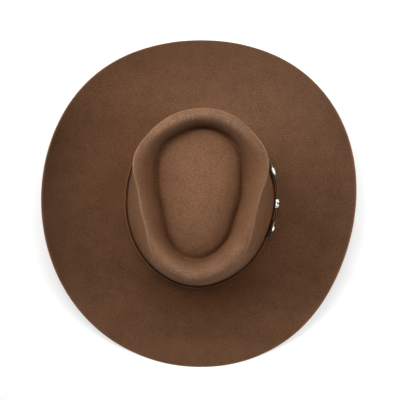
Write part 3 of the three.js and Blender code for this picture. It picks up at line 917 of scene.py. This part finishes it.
# Across the frame, from the window at nought to the outline at one: where its back has rings,
# where the relief rises and where it falls again, and where a groove runs; then the face's level
# and its fall to both edges as shares of the metal
BACK_SHARES = (0, 0.04, 0.96, 1)
RELIEF_RISES = (0.02, 0.12)
RELIEF_FALLS = (0.8, 0.9)
GROOVE_PLACE = 0.84
GROOVE_WIDTH = 0.05
GROOVE_DEPTH = 0.35
FACE_LEVEL = 0.85
FACE_FALL = 0.4
FRAME_RELIEF = 1.2
# The scrolls' height up the frame as a share of half the strap's. A flower has a size and a number
# of petals, a leaf a turn in degrees and a start, length and width in millimetres
SCROLL_UP = 0.78
SCROLL_FLOWER = (2.5 * MM, 5)
SCROLL_LEAVES = (
    (-80, 2, 4.4, 1.9),
    (25, 2.2, 5, 1.6),
)
RAIL_FLOWER = (3.6 * MM, 5)
RAIL_BLOOM = 2.8
PETAL_WAIST = 0.55
PETAL_POWER = 0.7
PETAL_STARTS = (0.12, 0.5)
FLOWER_HEART = 0.24
LEAF_POWER = 0.8
VEIN_DEPTH = 0.55
VEIN_WIDTH = 0.12
# The rope edge: a strand's length, width and slant, the share of its length from one to the next,
# where its ends darken, and the edge's place across the frame and up the metal
ROPE_LENGTH = 1.5 * MM
ROPE_WIDTH = 0.85 * MM
ROPE_LAY = 0.55
ROPE_STEP = 0.62
STRAND_DARK = (0.1, 0.45)
FRAME_ROPE_PLACE = 0.93
FRAME_ROPE_RISE = 0.72

SILVER_DARK = (0.055, 0.05, 0.045, 1)
SILVER_BRIGHT = (0.76, 0.74, 0.7, 1)
SILVER_WEAR = (700, 4, 0.6)
SILVER_PITS = (1100, 3, 0.6)
PIT_RELIEF = (0.08 * MM, 0.5)
# Patina in the hollows, painted shade on metal facing up, and worn patches together make the metal
# dull: the patches' share, what the polish takes off, and where dullness starts and is full; then
# how rough smooth, dull and worn metal is
WEAR_SHARE = 0.9
POLISH = 0.42
DULL_RANGE = (0.2, 0.8)
SMOOTH_SILVER = 0.24
DULL_ROUGHNESS = 0.3
WEAR_ROUGHNESS = 0.12
# How dark the metal is left on its back, how far its face's middle shines without relief, and where
# relief and shine clear it
BACK_DARK = 0.4
BARE_SHINE = 0.33
FACE_CLEARS = (0.1, 0.6)
# Painted shade on what faces up, away from a piece's bright middle: how much, from where to where,
# what counts as facing up, and how far along the buckle's middle its bright place lies
UPWARD_SHADE = 0.75
UPWARD_SHADE_START = 2 * MM
UPWARD_SHADE_FULL = 7 * MM
FACES_UP = (0.1, 0.5)
BRIGHT_ALONG = 3 * MM

silver_paint = Paint("antique_silver")
silver_wear = silver_paint.noise(*SILVER_WEAR)
silver_patina_and_shade = silver_paint.attribute("recess")
silver_dull = (silver_patina_and_shade + WEAR_SHARE * silver_wear - POLISH).between(*DULL_RANGE)
silver_material = silver_paint.finish({
    "Base Color": silver_paint.blend(SILVER_BRIGHT, SILVER_DARK, silver_dull),
    "Metallic": 1.0,
    "Roughness": SMOOTH_SILVER + DULL_ROUGHNESS * silver_dull + WEAR_ROUGHNESS * silver_wear,
    "Normal": silver_paint.bump(silver_paint.noise(*SILVER_PITS), *PIT_RELIEF),
})

rope = Maker("rope_edge", {
    "Length": "Float", "Width": "Float", "Lay": "Float", "Material": "Material",
})
rope_line = rope.node("GeometryNodeMeshToCurve", None, {0: rope.inputs["Geometry"]})[0]
spacing = {"Curve": rope_line, "Length": rope.inputs["Length"] * ROPE_STEP}
spread = rope.node("GeometryNodeCurveToPoints", {"mode": "LENGTH"}, spacing)
out_settings = {"data_type": "FLOAT_VECTOR"}
bead_out = rope.node("GeometryNodeInputNamedAttribute", out_settings, {"Name": "out"})[0]
rope_across = rope.node("ShaderNodeVectorMath", {"operation": "CROSS_PRODUCT"}, {
    0: bead_out, 1: spread["Tangent"],
})[0]
laid = rope.node("ShaderNodeVectorMath", {"operation": "MULTIPLY_ADD"}, {
    0: rope_across, 1: rope.inputs["Lay"], 2: spread["Tangent"],
})[0]
bead_axes = {"primary_axis": "X", "secondary_axis": "Z"}
bead_turn = rope.node("FunctionNodeAxesToRotation", bead_axes, {0: laid, 1: bead_out})[0]
bead_size = rope.node("ShaderNodeCombineXYZ", None, {
    0: rope.inputs["Length"], 1: rope.inputs["Width"], 2: rope.inputs["Width"],
})[0]
bead_sphere = {"Segments": 8, "Rings": 6, "Radius": 0.5}
bead = rope.node("GeometryNodeMeshUVSphere", None, bead_sphere)[0]
bead_place = {0: rope.node("GeometryNodeInputPosition")[0]}
bead_far = rope.node("ShaderNodeSeparateXYZ", None, bead_place)["X"]
bead_dark = bead_far.maths("ABSOLUTE").between(*STRAND_DARK)
bead_settings = {"data_type": "FLOAT", "domain": "POINT"}
bead = rope.node("GeometryNodeStoreNamedAttribute", bead_settings, {
    "Geometry": bead, "Name": "recess", "Value": bead_dark,
})[0]
beads = rope.node("GeometryNodeInstanceOnPoints", None, {
    "Points": spread["Points"], "Instance": bead, "Rotation": bead_turn, "Scale": bead_size,
})[0]
rope.finish(beads, rope.inputs["Material"])


def rope_mesh(raised):
    """A rope edge of short laid strands along a path, which raised gives at any rise over it."""
    path = raised(0)
    source = path_mesh("rope_path", path)
    attribute = source.data.attributes.new("out", "FLOAT_VECTOR", "POINT")
    attribute.data.foreach_set("vector", unit(raised(MM) - path).ravel())
    return rope.apply(source, {
        "Length": ROPE_LENGTH, "Width": ROPE_WIDTH, "Lay": ROPE_LAY, "Material": silver_material,
    })


def flower(u, v, size, petals):
    """Height of a round flower: domed petals round a heart, from nought to one."""
    far = np.hypot(u, v) / size
    turn = np.arctan2(v, u)
    lobes = np.abs(np.cos(turn * petals / 2)) ** PETAL_POWER
    reach = mix(PETAL_WAIST, 1, lobes)
    petal = np.sqrt(np.clip(1 - (far / reach) ** 2, 0, 1)) * smoothstep(far, *PETAL_STARTS)
    return np.maximum(petal, np.sqrt(np.clip(1 - (far / FLOWER_HEART) ** 2, 0, 1)))


def leaf(u, v, row):
    """Height of a pointed leaf with a vein, which starts away from the middle."""
    turn = math.radians(row[0])
    start, length, width = (size * MM for size in row[1:])
    along = u * math.cos(turn) + v * math.sin(turn) - start
    beside = v * math.cos(turn) - u * math.sin(turn)
    share = np.clip(along / length, 0, 1)
    half = width / 2 * np.sin(np.pi * share ** LEAF_POWER) + 1e-9
    inside = np.sqrt(np.clip(1 - (beside / half) ** 2, 0, 1)) * (half > 1e-7)
    return inside * (1 - VEIN_DEPTH * bell(beside, VEIN_WIDTH * width))


def blossom(u, v, middle, leaves, leaf_height):
    """Height of a flower with its leaves, whose height is a share of the flower's."""
    height = flower(u, v, *middle)
    for row in leaves:
        height = np.maximum(height, leaf_height * leaf(u, v, row))
    return height


def paint_upward_shade(mesh, bright_middle):
    """Paints shade on what faces up, away from a piece's bright middle."""
    count = len(mesh.vertices)
    place, dark = np.zeros(3 * count), np.zeros(count)
    mesh.vertices.foreach_get("co", place)
    mesh.attributes["recess"].data.foreach_get("value", dark)
    far = np.linalg.norm(place.reshape(-1, 3) - bright_middle, axis=-1)
    shade_share = UPWARD_SHADE * smoothstep(far, UPWARD_SHADE_START, UPWARD_SHADE_FULL)
    shade_share *= smoothstep(facing_up(mesh), *FACES_UP)
    mesh.attributes["recess"].data.foreach_set("value", np.maximum(dark, shade_share))


def cast(name, node, solid, recess, ropes=(), bright=None):
    """A finished piece of cast metal: dark in its hollows, with its rope edges joined to it, and
    given painted shade where it faces up away from its bright place, if it has one."""
    mesh = solid_mesh(name, *solid, silver_material)
    mark(mesh, "recess", np.ravel(recess))
    piece = placed(name, mesh)
    others = [placed("rope", edge) for edge in ropes]
    if others:
        context = {"active_object": piece, "selected_editable_objects": [piece, *others]}
        with bpy.context.temp_override(**context):
            bpy.ops.object.join()
    bpy.data.objects.remove(piece)
    if bright is not None:
        paint_upward_shade(mesh, bright)
    carried(name, mesh, node)


def first_run(keep):
    """The numbers of the points of a closed outline that are kept, from the first of their run."""
    start = int(np.argmax(keep & ~np.roll(keep, 1)))
    return [(start + i) % len(keep) for i in range(int(keep.sum()))]


def even_turns(count, power, width, height):
    """Turns that part a rounded oblong's outline into equal lengths."""
    turn = np.linspace(0, 2 * np.pi, 100 * count)
    x, y = oblong(turn, power, width, height)
    length = np.concatenate(([0.0], np.cumsum(np.hypot(np.diff(x), np.diff(y)))))
    return np.interp(np.arange(count) / count * length[-1], length, turn)


frame_turn = even_turns(FRAME_AROUND, OUTLINE_POWER, BUCKLE_LENGTH, 2 * HALF_STRAP)
window_middle = (WINDOW_FAR + WINDOW_HEEL) / 2
window_half = (WINDOW_HEEL - WINDOW_FAR) / 2
window_up = HALF_STRAP + 2 * FIT_GAP
out_along, out_up = oblong(frame_turn, OUTLINE_POWER, BUCKLE_LENGTH / 2, window_up + FRAME_RAIL)
out_along -= BUCKLE_MIDDLE
in_along, in_up = oblong(frame_turn, WINDOW_POWER, window_half, window_up)
in_along += window_middle
heel = smoothstep((in_along - window_middle) / window_half, *HEEL_THINS)
frame_metal = mix(FRAME_METAL, HEEL_BAR, heel)


def frame_spot(share):
    return mix(in_along, out_along, share), mix(in_up, out_up, share)


def frame_ornament(along, up):
    """Height of the scrolls on the broad far side, and of a small flower on each rail."""
    u, v = along - (BUCKLE_FAR + FRAME_FAR / 2), np.abs(up) - HALF_STRAP * SCROLL_UP
    scrolls = blossom(u, v, SCROLL_FLOWER, SCROLL_LEAVES, 1)
    beside_rail = np.abs(up) - window_up - FRAME_RAIL / 2
    rail_flower = flower(along + BUCKLE_MIDDLE, beside_rail, *RAIL_FLOWER)
    return np.maximum(scrolls, RAIL_BLOOM * rail_flower)


frame_loops, frame_recess = [], []
for share in BACK_SHARES:
    frame_loops.append(on_strap(*frame_spot(share), LAPPED_LAYER))
    frame_recess.append(np.full(FRAME_AROUND, BACK_DARK))
for share in np.linspace(1, 0, FRAME_SHARES):
    along, up = frame_spot(share)
    aside = np.abs(2 * share - 1)
    ornament = frame_ornament(along, up) * smoothstep(share, *RELIEF_RISES) * (1 - heel)
    ornament = ornament * (1 - smoothstep(share, *RELIEF_FALLS))
    groove = GROOVE_DEPTH * bell(share - GROOVE_PLACE, GROOVE_WIDTH) * (1 - heel)
    face = frame_metal * (1 - FACE_FALL * aside**4 - groove) * FACE_LEVEL
    height = face + RELIEF * FRAME_RELIEF * ornament
    frame_loops.append(on_strap(along, up, LAPPED_LAYER + height))
    frame_recess.append(1 - smoothstep(ornament + BARE_SHINE * (1 - aside), *FACE_CLEARS))
frame_loops = np.array(frame_loops).transpose(1, 0, 2)
frame_recess = np.array(frame_recess).T

rim_along, rim_up = frame_spot(FRAME_ROPE_PLACE)
rim_height = LAPPED_LAYER + frame_metal * FRAME_ROPE_RISE
rim_order = first_run((heel < 0.5) | (np.abs(rim_up) > HALF_STRAP + FIT_GAP))
frame_ropes = [rope_mesh(lambda rise: on_strap(rim_along, rim_up, rim_height + rise)[rim_order])]

# The frame's metal facing up gets painted shade away from this bright place
frame_middle = on_strap(BRIGHT_ALONG - BUCKLE_MIDDLE, HALF_STRAP, FRAME_TOP)
frame_solid = solid_from_loops(frame_loops, joined=True)
cast(
    "felt_hat_buckle_frame", "buckle_frame", frame_solid, frame_recess, frame_ropes, frame_middle
)


# The tongue: a tapered pin of the same metal that hangs on the heel bar, comes up through the
# strap's slot and lies over the frame's broad side.

tongue_solid = solid_from_loops(tongue_loops(0.0))
tongue_recess = np.zeros(len(tongue_solid[0]))
# The tongue's metal facing up gets painted shade away from the frame's bright place
cast("felt_hat_buckle_tongue", "buckle_tongue", tongue_solid, tongue_recess, (), frame_middle)


# The keeper: a loop of the same metal round both layers of the strap, with two rounded lobes
# across its face and a rope edge along each side.

KEEPER_ACROSS = 41
KEEPER_AROUND = 120
# How square its corners are inside, how square its growth outwards, and where its front begins
KEEPER_CORNER = 0.16
KEEPER_OUTWARD = 0.8
KEEPER_FRONT = (-0.2, 0.3)
KEEPER_BULGE = 0.35 * MM
# The lobes' height, and as shares of the keeper's half length their place and width, and where
# its side thins and how much; then the plain face's level, and the rope edge's place and rise
# as shares of the wall, and how far round the back it goes
KEEPER_LOBE = 0.8 * MM
LOBE_PLACE = 0.42
LOBE_WIDTH = 0.22
KEEPER_THINS = (0.85, 1)
KEEPER_THINNED = 0.5
KEEPER_LEVEL = 0.9
KEEPER_ROPE_PLACE = 0.87
KEEPER_ROPE_RISE = 0.8
KEEPER_ROPE_ENDS = -0.3
# How dark the hollows beside the lobes and the back are, and where a lobe is clear
HOLLOW_DARK = 0.7
KEEPER_BACK_DARK = 0.3
LOBE_CLEARS = (0.1, 0.7)

keeper_in_low = FIRST_LAYER - FIT_GAP
keeper_in_high = LAPPED_LAYER + STRAP_THICKNESS + FIT_GAP
keeper_side = HALF_STRAP + FIT_GAP
keeper_middle = (keeper_in_low + keeper_in_high) / 2
keeper_half = (keeper_in_high - keeper_in_low) / 2
keeper_turn = even_turns(KEEPER_AROUND, KEEPER_CORNER, keeper_side, keeper_half)
keeper_up, keeper_out = oblong(keeper_turn, KEEPER_CORNER, keeper_side, keeper_half)
keeper_out += keeper_middle
to_up, to_out = oblong(keeper_turn, KEEPER_OUTWARD, 1, 1)
keeper_front = smoothstep(to_out, *KEEPER_FRONT)
keeper_wall = mix(KEEPER_BACK, KEEPER_METAL, keeper_front)
bulge = KEEPER_BULGE * keeper_front * (1 - (keeper_up / keeper_side) ** 2)


def keeper_ring(place, grown):
    """A ring round the keeper at a share of its half length, so far out from its inner face."""
    up, out = keeper_up + to_up * grown, keeper_out + to_out * grown
    return on_strap(place * HALF_KEEPER, up, out)


keeper_loops = [keeper_ring(place, 0) for place in (1, -1)]
keeper_recess = [np.full(KEEPER_AROUND, BACK_DARK)] * 2
for place in np.linspace(-1, 1, KEEPER_ACROSS):
    lobe = KEEPER_LOBE * keeper_front * bell(abs(place) - LOBE_PLACE, LOBE_WIDTH)
    side = 1 - KEEPER_THINNED * smoothstep(abs(place), *KEEPER_THINS)
    keeper_loops.append(keeper_ring(place, keeper_wall * side * KEEPER_LEVEL + lobe + bulge))
    hollow = HOLLOW_DARK * (1 - smoothstep(lobe / KEEPER_LOBE, *LOBE_CLEARS))
    keeper_recess.append(mix(KEEPER_BACK_DARK, hollow, keeper_front))

rope_order = first_run(np.sin(keeper_turn) > KEEPER_ROPE_ENDS)
rope_rise = keeper_wall * KEEPER_ROPE_RISE + bulge
keeper_ropes = [
    rope_mesh(lambda rise: keeper_ring(place, rope_rise + rise)[rope_order])
    for place in (-KEEPER_ROPE_PLACE, KEEPER_ROPE_PLACE)
]
keeper_solid = solid_from_loops(keeper_loops, joined=True)
cast("felt_hat_keeper", "keeper", keeper_solid, keeper_recess, keeper_ropes)


# The tip: a cap of the same metal closed over the strap's end, with a flower and leaves in relief
# on its face and a rope edge round it.

TIP_METAL = 0.7 * MM
TIP_STEPS = 120
TIP_FACE = 90
TIP_BEHIND = 12
# Shares of the tip's length where its sides start to close and where the last ring lies, how
# bluntly they close, and how far its face falls to the sides as a share of the metal
TIP_STRAIGHT = 0.6
TIP_LAST = 0.995
TIP_POWER = 2.4
TIP_DROP = 0.5
# The relief: its height, the flower's place along the tip, its size and petals, and the leaves'
# height against the flower's, with one row a leaf as on the frame
TIP_RISE = 3.2
TIP_FLOWER_PLACE = 0.45
TIP_FLOWER = (4.4 * MM, 6)
LEAF_HEIGHT = 0.45
TIP_LEAVES = (
    (0, 4.2, 10, 3.4),
    (26, 3.8, 8.2, 2.4),
    (-26, 3.8, 8.2, 2.4),
    (140, 3.6, 6.4, 2.6),
    (-140, 3.6, 6.4, 2.6),
    (180, 4.1, 5.4, 2.6),
    (75, 3.9, 2.4, 2),
    (-75, 3.9, 2.4, 2),
)
# The plain border: how far in from the sides the relief is whole and where it ends, and where it
# starts and stops along the tip
BORDER_IN = 1.7 * MM
BORDER_OUT = 1.1 * MM
TIP_STARTS = (0.04, 0.08)
TIP_STOPS = (0.93, 0.96)
# How dark the pocket is, and the side wall by the flower and how much more away from it
POCKET_DARK = 0.6
TIP_WALL_DARK = 0.5
TIP_WALL_DARKENS = 0.4
TIP_WALL_BLOOM = 4.5 * MM
RELIEF_CLEARS = (0.05, 0.3)
# The rope edge: where it starts, bends in and ends along the tip, points before and in the bend,
# and how far it lies in from the sides, down from the face, and in from the start and the end
TIP_ROPE_START = 0.03
TIP_ROPE_BENDS = (0.6, 0.61)
TIP_ROPE_END = 0.985
TIP_ROPE_POINTS = (30, 60)
TIP_ROPE_IN = 0.55 * MM
TIP_ROPE_DOWN = 0.3 * MM
TIP_ROPE_AHEAD = 0.3 * MM
TIP_ROPE_SHORTER = 0.8 * MM

tip_low = TIP_LAYER - FIT_GAP - TIP_BACK
tip_face = TIP_LAYER + STRAP_THICKNESS + FIT_GAP + TIP_METAL
tip_full = HALF_STRAP + FIT_GAP + TIP_METAL
tip_across = np.concatenate((
    np.linspace(-1, 1, TIP_FACE), [1, 1], np.linspace(1, -1, TIP_BEHIND), [-1, -1]
))
tip_rise = np.concatenate((
    np.ones(TIP_FACE), [0.67, 0.33], np.zeros(TIP_BEHIND), [0.33, 0.67]
))
on_face = tip_rise == 1
on_wall = (tip_rise > 0) & (tip_rise < 1)


def tip_half(share):
    drawn = np.maximum(0, (share - TIP_STRAIGHT) / (1 - TIP_STRAIGHT)) ** TIP_POWER
    return tip_full * np.sqrt(np.maximum(0, 1 - drawn))


pocket_up = tip_across * (HALF_STRAP + FIT_GAP)
pocket_low = TIP_LAYER - FIT_GAP
pocket_high = TIP_LAYER + STRAP_THICKNESS + FIT_GAP
pocket_out = mix(pocket_low, pocket_high, tip_rise)
pocket_end = TIP_START + TIP_LENGTH * TIP_FILLED + FIT_GAP
tip_loops = [on_strap(place, pocket_up, pocket_out) for place in (pocket_end, TIP_START)]
tip_recess = [np.full(len(tip_across), POCKET_DARK)] * 2
for share in np.linspace(0, TIP_LAST, TIP_STEPS):
    half = tip_half(share)
    up = tip_across * half
    from_flower = TIP_LENGTH * (share - TIP_FLOWER_PLACE)
    within = 1 - smoothstep(np.abs(up), half - BORDER_IN, half - BORDER_OUT)
    within = within * smoothstep(share, *TIP_STARTS) * (1 - smoothstep(share, *TIP_STOPS))
    within = within * on_face
    ornament = blossom(from_flower, up, TIP_FLOWER, TIP_LEAVES, LEAF_HEIGHT) * within
    drop = TIP_DROP * TIP_METAL * np.abs(tip_across) ** 4
    out = mix(tip_low, tip_face - drop, tip_rise) + RELIEF * TIP_RISE * ornament
    tip_loops.append(on_strap(TIP_START + share * TIP_LENGTH, up, out))
    hollow = (1 - smoothstep(ornament, *RELIEF_CLEARS)) * within
    beside = 1 - bell(from_flower, TIP_WALL_BLOOM)
    tip_recess.append(hollow + (TIP_WALL_DARK + TIP_WALL_DARKENS * beside) * on_wall)
tip_recess = np.concatenate((np.ravel(tip_recess), [POCKET_DARK, 0]))

straight, bent = TIP_ROPE_POINTS
rope_share = np.concatenate((
    np.linspace(TIP_ROPE_START, TIP_ROPE_BENDS[0], straight),
    mix(1, TIP_ROPE_BENDS[1], np.linspace(1, 0, bent) ** 2),
))
rope_share = np.minimum(rope_share, TIP_ROPE_END)
rope_up = np.maximum(tip_half(rope_share) - TIP_ROPE_IN, 0)
rope_along = TIP_START + TIP_ROPE_AHEAD + rope_share * (TIP_LENGTH - TIP_ROPE_SHORTER)
rope_along = np.concatenate((rope_along, rope_along[::-1]))
rope_up = np.concatenate((rope_up, -rope_up[::-1]))
rope_height = tip_face - TIP_ROPE_DOWN
tip_ropes = [rope_mesh(lambda rise: on_strap(rope_along, rope_up, rope_height + rise))]

tip_solid = solid_from_loops(tip_loops)
# The tip's metal facing up gets painted shade away from this bright place by its flower
tip_bright = on_strap(TIP_START + TIP_LENGTH * TIP_FLOWER_PLACE, HALF_STRAP, tip_face)
cast("felt_hat_strap_tip", "strap_tip", tip_solid, tip_recess, tip_ropes, tip_bright)
